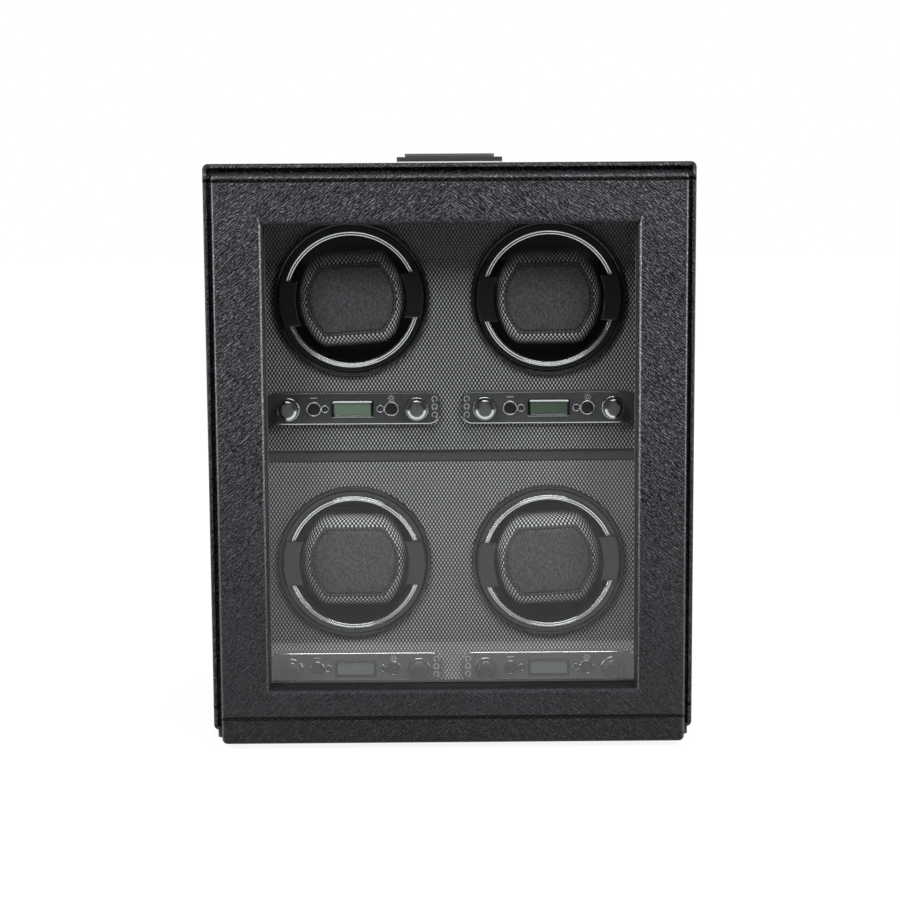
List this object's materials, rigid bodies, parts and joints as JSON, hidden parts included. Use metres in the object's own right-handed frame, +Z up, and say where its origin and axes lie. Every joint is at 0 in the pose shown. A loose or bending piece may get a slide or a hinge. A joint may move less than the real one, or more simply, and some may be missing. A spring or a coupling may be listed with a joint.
{
  "type": "watch winder box",
  "caption": "Black leather watch winder cabinet with a drop-front glass door, turning drums that hold pull-out watch cuffs, knob and button control panels and a slide latch on top.",
  "frame": {"origin": "centre of the footprint, on the surface that the box stands on", "axes": "+Z up, -Y out of the glass door, +X to the right as seen from the front"},
  "size_m": [0.267, 0.21, 0.3229],
  "materials": {
    "leather": "pebble grain",
    "shelf_wrap": "smooth",
    "weave": "carbon-look twill",
    "lining": "felt",
    "glass": "clear",
    "screen": "display",
    "gloss_black": "gloss",
    "matte_black": "satin",
    "gear_plastic": "satin",
    "board": "satin",
    "chrome": "polished",
    "gunmetal": "satin",
    "steel": "brushed",
    "bronze": "machined"
  },
  "bodies": {
    "cabinet": {"cabinet_shell": "leather", "back_panel": "leather", "power_socket": "matte_black", "base_plinth": "leather", "shelf_board": "shelf_wrap", "faceplates": "weave", "hinge_arms": "steel", "latch_base": "chrome", "drum_bezels": "gloss_black", "shaft_bearings": "bronze", "chassis_plates": "matte_black", "gear_motors": "steel", "control_panels": "gloss_black", "display_lenses": "screen", "control_boards": "board"},
    "door": {"door_frame": "leather", "door_glass": "glass", "glass_retainer": "lining", "hinge_pins": "steel"},
    "latch": {"latch_slider": "gunmetal"},
    "drum_upper_left": {"drum_cup_upper_left": "gloss_black", "trim_ring_upper_left": "chrome", "drive_gear_upper_left": "gear_plastic"},
    "pinion_upper_left": {"motor_pinion_upper_left": "bronze"},
    "cuff_upper_left": {"cuff_cushion_upper_left": "weave", "cuff_clip_upper_left": "matte_black"},
    "knob_upper_left_left": {"knob_upper_left_left": "chrome"},
    "button_upper_left_left": {"button_upper_left_left": "gloss_black"},
    "knob_upper_left_right": {"knob_upper_left_right": "chrome"},
    "button_upper_left_right": {"button_upper_left_right": "gloss_black"},
    "drum_upper_right": {"drum_cup_upper_right": "gloss_black", "trim_ring_upper_right": "chrome", "drive_gear_upper_right": "gear_plastic"},
    "pinion_upper_right": {"motor_pinion_upper_right": "bronze"},
    "cuff_upper_right": {"cuff_cushion_upper_right": "weave", "cuff_clip_upper_right": "matte_black"},
    "knob_upper_right_left": {"knob_upper_right_left": "chrome"},
    "button_upper_right_left": {"button_upper_right_left": "gloss_black"},
    "knob_upper_right_right": {"knob_upper_right_right": "chrome"},
    "button_upper_right_right": {"button_upper_right_right": "gloss_black"},
    "drum_lower_left": {"drum_cup_lower_left": "gloss_black", "trim_ring_lower_left": "chrome", "drive_gear_lower_left": "gear_plastic"},
    "pinion_lower_left": {"motor_pinion_lower_left": "bronze"},
    "cuff_lower_left": {"cuff_cushion_lower_left": "weave", "cuff_clip_lower_left": "matte_black"},
    "knob_lower_left_left": {"knob_lower_left_left": "chrome"},
    "button_lower_left_left": {"button_lower_left_left": "gloss_black"},
    "knob_lower_left_right": {"knob_lower_left_right": "chrome"},
    "button_lower_left_right": {"button_lower_left_right": "gloss_black"},
    "drum_lower_right": {"drum_cup_lower_right": "gloss_black", "trim_ring_lower_right": "chrome", "drive_gear_lower_right": "gear_plastic"},
    "pinion_lower_right": {"motor_pinion_lower_right": "bronze"},
    "cuff_lower_right": {"cuff_cushion_lower_right": "weave", "cuff_clip_lower_right": "matte_black"},
    "knob_lower_right_left": {"knob_lower_right_left": "chrome"},
    "button_lower_right_left": {"button_lower_right_left": "gloss_black"},
    "knob_lower_right_right": {"knob_lower_right_right": "chrome"},
    "button_lower_right_right": {"button_lower_right_right": "gloss_black"}
  },
  "joints": [
    {"name": "door_drop", "type": "hinge", "parent": "cabinet", "child": "door", "pos_m": [0, -0.099, 0.009], "axis": [1, 0, 0], "range_deg": [0, 90]},
    {"name": "latch_slide", "type": "slide", "parent": "cabinet", "child": "latch", "axis": [0, -1, 0], "range_m": [0, 0.006]},
    {"name": "drum_spin_upper_left", "type": "hinge", "parent": "cabinet", "child": "drum_upper_left", "pos_m": [-0.055, 0, 0.2429], "axis": [0, 1, 0], "continuous": true},
    {"name": "pinion_spin_upper_left", "type": "hinge", "parent": "cabinet", "child": "pinion_upper_left", "pos_m": [-0.055, 0, 0.2729], "axis": [0, 1, 0], "continuous": true},
    {"name": "cuff_pull_upper_left", "type": "slide", "parent": "drum_upper_left", "child": "cuff_upper_left", "axis": [0, -1, 0], "range_m": [0, 0.028]},
    {"name": "knob_turn_upper_left_left", "type": "hinge", "parent": "cabinet", "child": "knob_upper_left_left", "pos_m": [-0.091, 0, 0.1816], "axis": [0, 1, 0], "range_deg": [-45, 45]},
    {"name": "button_press_upper_left_left", "type": "slide", "parent": "cabinet", "child": "button_upper_left_left", "axis": [0, 1, 0], "range_m": [0, 0.001], "stiffness_N_per_m": 300, "springref_m": -0.002},
    {"name": "knob_turn_upper_left_right", "type": "hinge", "parent": "cabinet", "child": "knob_upper_left_right", "pos_m": [-0.019, 0, 0.1816], "axis": [0, 1, 0], "range_deg": [-135, 135]},
    {"name": "button_press_upper_left_right", "type": "slide", "parent": "cabinet", "child": "button_upper_left_right", "axis": [0, 1, 0], "range_m": [0, 0.001], "stiffness_N_per_m": 300, "springref_m": -0.002},
    {"name": "drum_spin_upper_right", "type": "hinge", "parent": "cabinet", "child": "drum_upper_right", "pos_m": [0.055, 0, 0.2429], "axis": [0, 1, 0], "continuous": true},
    {"name": "pinion_spin_upper_right", "type": "hinge", "parent": "cabinet", "child": "pinion_upper_right", "pos_m": [0.055, 0, 0.2729], "axis": [0, 1, 0], "continuous": true},
    {"name": "cuff_pull_upper_right", "type": "slide", "parent": "drum_upper_right", "child": "cuff_upper_right", "axis": [0, -1, 0], "range_m": [0, 0.028]},
    {"name": "knob_turn_upper_right_left", "type": "hinge", "parent": "cabinet", "child": "knob_upper_right_left", "pos_m": [0.019, 0, 0.1816], "axis": [0, 1, 0], "range_deg": [-45, 45]},
    {"name": "button_press_upper_right_left", "type": "slide", "parent": "cabinet", "child": "button_upper_right_left", "axis": [0, 1, 0], "range_m": [0, 0.001], "stiffness_N_per_m": 300, "springref_m": -0.002},
    {"name": "knob_turn_upper_right_right", "type": "hinge", "parent": "cabinet", "child": "knob_upper_right_right", "pos_m": [0.091, 0, 0.1816], "axis": [0, 1, 0], "range_deg": [-135, 135]},
    {"name": "button_press_upper_right_right", "type": "slide", "parent": "cabinet", "child": "button_upper_right_right", "axis": [0, 1, 0], "range_m": [0, 0.001], "stiffness_N_per_m": 300, "springref_m": -0.002},
    {"name": "drum_spin_lower_left", "type": "hinge", "parent": "cabinet", "child": "drum_lower_left", "pos_m": [-0.055, 0, 0.094], "axis": [0, 1, 0], "continuous": true},
    {"name": "pinion_spin_lower_left", "type": "hinge", "parent": "cabinet", "child": "pinion_lower_left", "pos_m": [-0.055, 0, 0.124], "axis": [0, 1, 0], "continuous": true},
    {"name": "cuff_pull_lower_left", "type": "slide", "parent": "drum_lower_left", "child": "cuff_lower_left", "axis": [0, -1, 0], "range_m": [0, 0.028]},
    {"name": "knob_turn_lower_left_left", "type": "hinge", "parent": "cabinet", "child": "knob_lower_left_left", "pos_m": [-0.091, 0, 0.0327], "axis": [0, 1, 0], "range_deg": [-45, 45]},
    {"name": "button_press_lower_left_left", "type": "slide", "parent": "cabinet", "child": "button_lower_left_left", "axis": [0, 1, 0], "range_m": [0, 0.001], "stiffness_N_per_m": 300, "springref_m": -0.002},
    {"name": "knob_turn_lower_left_right", "type": "hinge", "parent": "cabinet", "child": "knob_lower_left_right", "pos_m": [-0.019, 0, 0.0327], "axis": [0, 1, 0], "range_deg": [-135, 135]},
    {"name": "button_press_lower_left_right", "type": "slide", "parent": "cabinet", "child": "button_lower_left_right", "axis": [0, 1, 0], "range_m": [0, 0.001], "stiffness_N_per_m": 300, "springref_m": -0.002},
    {"name": "drum_spin_lower_right", "type": "hinge", "parent": "cabinet", "child": "drum_lower_right", "pos_m": [0.055, 0, 0.094], "axis": [0, 1, 0], "continuous": true},
    {"name": "pinion_spin_lower_right", "type": "hinge", "parent": "cabinet", "child": "pinion_lower_right", "pos_m": [0.055, 0, 0.124], "axis": [0, 1, 0], "continuous": true},
    {"name": "cuff_pull_lower_right", "type": "slide", "parent": "drum_lower_right", "child": "cuff_lower_right", "axis": [0, -1, 0], "range_m": [0, 0.028]},
    {"name": "knob_turn_lower_right_left", "type": "hinge", "parent": "cabinet", "child": "knob_lower_right_left", "pos_m": [0.019, 0, 0.0327], "axis": [0, 1, 0], "range_deg": [-45, 45]},
    {"name": "button_press_lower_right_left", "type": "slide", "parent": "cabinet", "child": "button_lower_right_left", "axis": [0, 1, 0], "range_m": [0, 0.001], "stiffness_N_per_m": 300, "springref_m": -0.002},
    {"name": "knob_turn_lower_right_right", "type": "hinge", "parent": "cabinet", "child": "knob_lower_right_right", "pos_m": [0.091, 0, 0.0327], "axis": [0, 1, 0], "range_deg": [-135, 135]},
    {"name": "button_press_lower_right_right", "type": "slide", "parent": "cabinet", "child": "button_lower_right_right", "axis": [0, 1, 0], "range_m": [0, 0.001], "stiffness_N_per_m": 300, "springref_m": -0.002}
  ],
  "couplings": [
    {"joint": "pinion_spin_upper_left", "follows": "drum_spin_upper_left", "ratio": -3},
    {"joint": "pinion_spin_upper_right", "follows": "drum_spin_upper_right", "ratio": -3},
    {"joint": "pinion_spin_lower_left", "follows": "drum_spin_lower_left", "ratio": -3},
    {"joint": "pinion_spin_lower_right", "follows": "drum_spin_lower_right", "ratio": -3}
  ]
}
